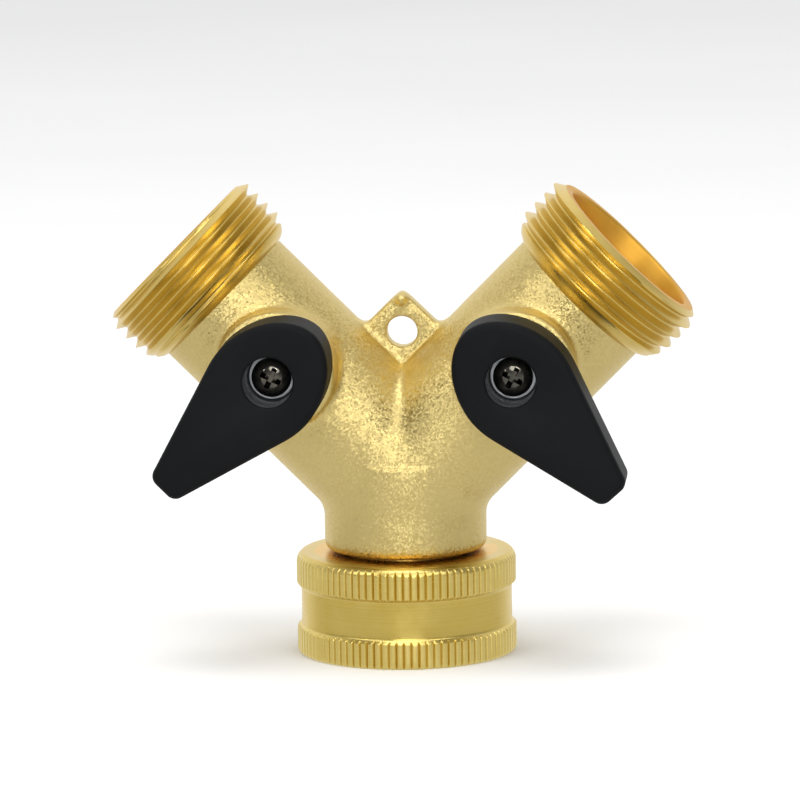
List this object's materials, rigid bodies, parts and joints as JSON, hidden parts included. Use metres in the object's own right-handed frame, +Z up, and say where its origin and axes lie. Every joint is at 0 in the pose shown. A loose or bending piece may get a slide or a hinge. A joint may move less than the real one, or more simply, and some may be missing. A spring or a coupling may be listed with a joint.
{
  "type": "hose splitter",
  "caption": "Y-shaped brass garden hose splitter: knurled swivel inlet nut, lever-handled ball valve and male pipe thread on each leg, hanging tab in the crotch.",
  "frame": {"origin": "bottom centre of the bounding box: on the plane of the swivel nut's lower face, 3.85 mm in front of the neck axis", "axes": "+Z up along the neck towards the legs, -Y to the front, where both handles are, +X to the right leg seen from the front"},
  "size_m": [0.0778, 0.0374, 0.0633],
  "materials": {
    "cast_brass": "sand-blasted brass casting, pale gold, fine sparkling grain",
    "machined_brass": "bright machined brass with turning marks",
    "plated_ball": "polished chrome-plated brass",
    "black_screw": "glossy black nickel",
    "zinc_washer": "zinc-plated steel",
    "black_plastic": "black moulded nylon, satin matte",
    "white_ptfe": "white PTFE, waxy",
    "black_rubber": "black rubber"
  },
  "bodies": {
    "valve_body": {"valve_body": "cast_brass", "inlet_tailpiece": "machined_brass", "tailpiece_oring": "black_rubber", "left_seat_inner": "white_ptfe", "left_seat_outer": "white_ptfe", "left_seat_retainer": "machined_brass", "right_seat_inner": "white_ptfe", "right_seat_outer": "white_ptfe", "right_seat_retainer": "machined_brass"},
    "left_valve": {"left_ball": "plated_ball", "left_stem": "machined_brass", "left_stem_oring_lower": "black_rubber", "left_stem_oring_upper": "black_rubber", "left_stem_washer": "white_ptfe", "left_handle": "black_plastic", "left_handle_screw": "black_screw", "left_screw_washer": "zinc_washer"},
    "right_valve": {"right_ball": "plated_ball", "right_stem": "machined_brass", "right_stem_oring_lower": "black_rubber", "right_stem_oring_upper": "black_rubber", "right_stem_washer": "white_ptfe", "right_handle": "black_plastic", "right_handle_screw": "black_screw", "right_screw_washer": "zinc_washer"},
    "inlet_washer": {"inlet_washer": "black_rubber"},
    "swivel_nut": {"swivel_nut": "machined_brass"}
  },
  "joints": [
    {"name": "left_valve_turn", "type": "hinge", "parent": "valve_body", "child": "left_valve", "pos_m": [-0.01595, 0.00385, 0.04002], "axis": [0, 1, 0], "range_deg": [0, 90]},
    {"name": "right_valve_turn", "type": "hinge", "parent": "valve_body", "child": "right_valve", "pos_m": [0.01595, 0.00385, 0.04002], "axis": [0, -1, 0], "range_deg": [0, 93]},
    {"name": "nut_float", "type": "slide", "parent": "valve_body", "child": "inlet_washer", "axis": [0, 0, -1], "range_m": [0, 0.001]},
    {"name": "nut_swivel", "type": "hinge", "parent": "inlet_washer", "child": "swivel_nut", "pos_m": [0, 0.00385, 0.007], "axis": [0, 0, 1], "continuous": true}
  ]
}
